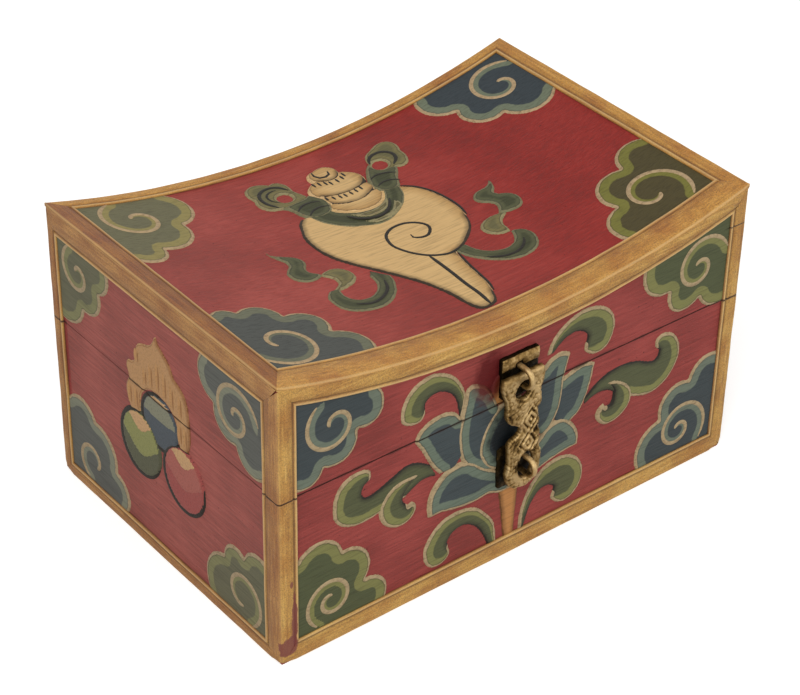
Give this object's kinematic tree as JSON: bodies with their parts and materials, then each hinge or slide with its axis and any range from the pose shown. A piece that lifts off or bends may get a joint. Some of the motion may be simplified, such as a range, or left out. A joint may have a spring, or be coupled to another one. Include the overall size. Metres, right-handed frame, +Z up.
{
  "type": "jewellery box",
  "caption": "Oblong painted wooden jewellery box with a dished hinged lid, raised gilt edge strips and a cast brass hasp that drops over a staple.",
  "frame": {"origin": "middle of the underside, on the plane the box rests on", "axes": "+X along the long front to its right end, -Y out of the front with the hasp, +Z up"},
  "size_m": [0.206, 0.1511, 0.116],
  "materials": {
    "lacquered_wood": "brushed dark red paint over carved wood",
    "gilt_wood": "ochre gold paint rubbed over wood",
    "old_brass": "cast, worn, antiqued",
    "felt": "dark red felt"
  },
  "bodies": {
    "case": {"case_front_board": "lacquered_wood", "case_back_board": "lacquered_wood", "case_left_board": "lacquered_wood", "case_right_board": "lacquered_wood", "base_board": "lacquered_wood", "base_lining": "felt", "case_front_left_corner_strip": "gilt_wood", "case_front_right_corner_strip": "gilt_wood", "case_back_left_corner_strip": "gilt_wood", "case_back_right_corner_strip": "gilt_wood", "case_front_bottom_strip": "gilt_wood", "case_back_bottom_strip": "gilt_wood", "case_left_bottom_strip": "gilt_wood", "case_right_bottom_strip": "gilt_wood", "hinge_left_case_leaf": "old_brass", "hinge_left_case_screw_1": "old_brass", "hinge_left_case_screw_2": "old_brass", "hinge_left_pin": "old_brass", "hinge_right_case_leaf": "old_brass", "hinge_right_case_screw_1": "old_brass", "hinge_right_case_screw_2": "old_brass", "hinge_right_pin": "old_brass", "hasp_case_plate": "old_brass", "hasp_case_staple": "old_brass"},
    "lid": {"lid_top_board": "lacquered_wood", "lid_front_board": "lacquered_wood", "lid_back_board": "lacquered_wood", "lid_left_board": "lacquered_wood", "lid_right_board": "lacquered_wood", "lid_front_left_corner_strip": "gilt_wood", "lid_front_right_corner_strip": "gilt_wood", "lid_back_left_corner_strip": "gilt_wood", "lid_back_right_corner_strip": "gilt_wood", "lid_front_edge_strip": "gilt_wood", "lid_back_edge_strip": "gilt_wood", "lid_left_edge_strip": "gilt_wood", "lid_right_edge_strip": "gilt_wood", "top_front_strip": "gilt_wood", "top_back_strip": "gilt_wood", "top_left_strip": "gilt_wood", "top_right_strip": "gilt_wood", "hinge_left_lid_leaf": "old_brass", "hinge_left_lid_screw_1": "old_brass", "hinge_left_lid_screw_2": "old_brass", "hinge_right_lid_leaf": "old_brass", "hinge_right_lid_screw_1": "old_brass", "hinge_right_lid_screw_2": "old_brass", "hasp_lid_plate": "old_brass", "hasp_lid_staple": "old_brass"},
    "hasp": {"hasp_strap": "old_brass"}
  },
  "joints": [
    {"name": "lid_open", "type": "hinge", "parent": "case", "child": "lid", "pos_m": [0, 0.0702, 0.069], "axis": [-1, 0, 0], "range_deg": [0, 105]},
    {"name": "hasp_swing", "type": "hinge", "parent": "lid", "child": "hasp", "pos_m": [-0.0034, -0.0723, 0.0798], "axis": [-1, 0, 0], "range_deg": [0, 150]}
  ]
}
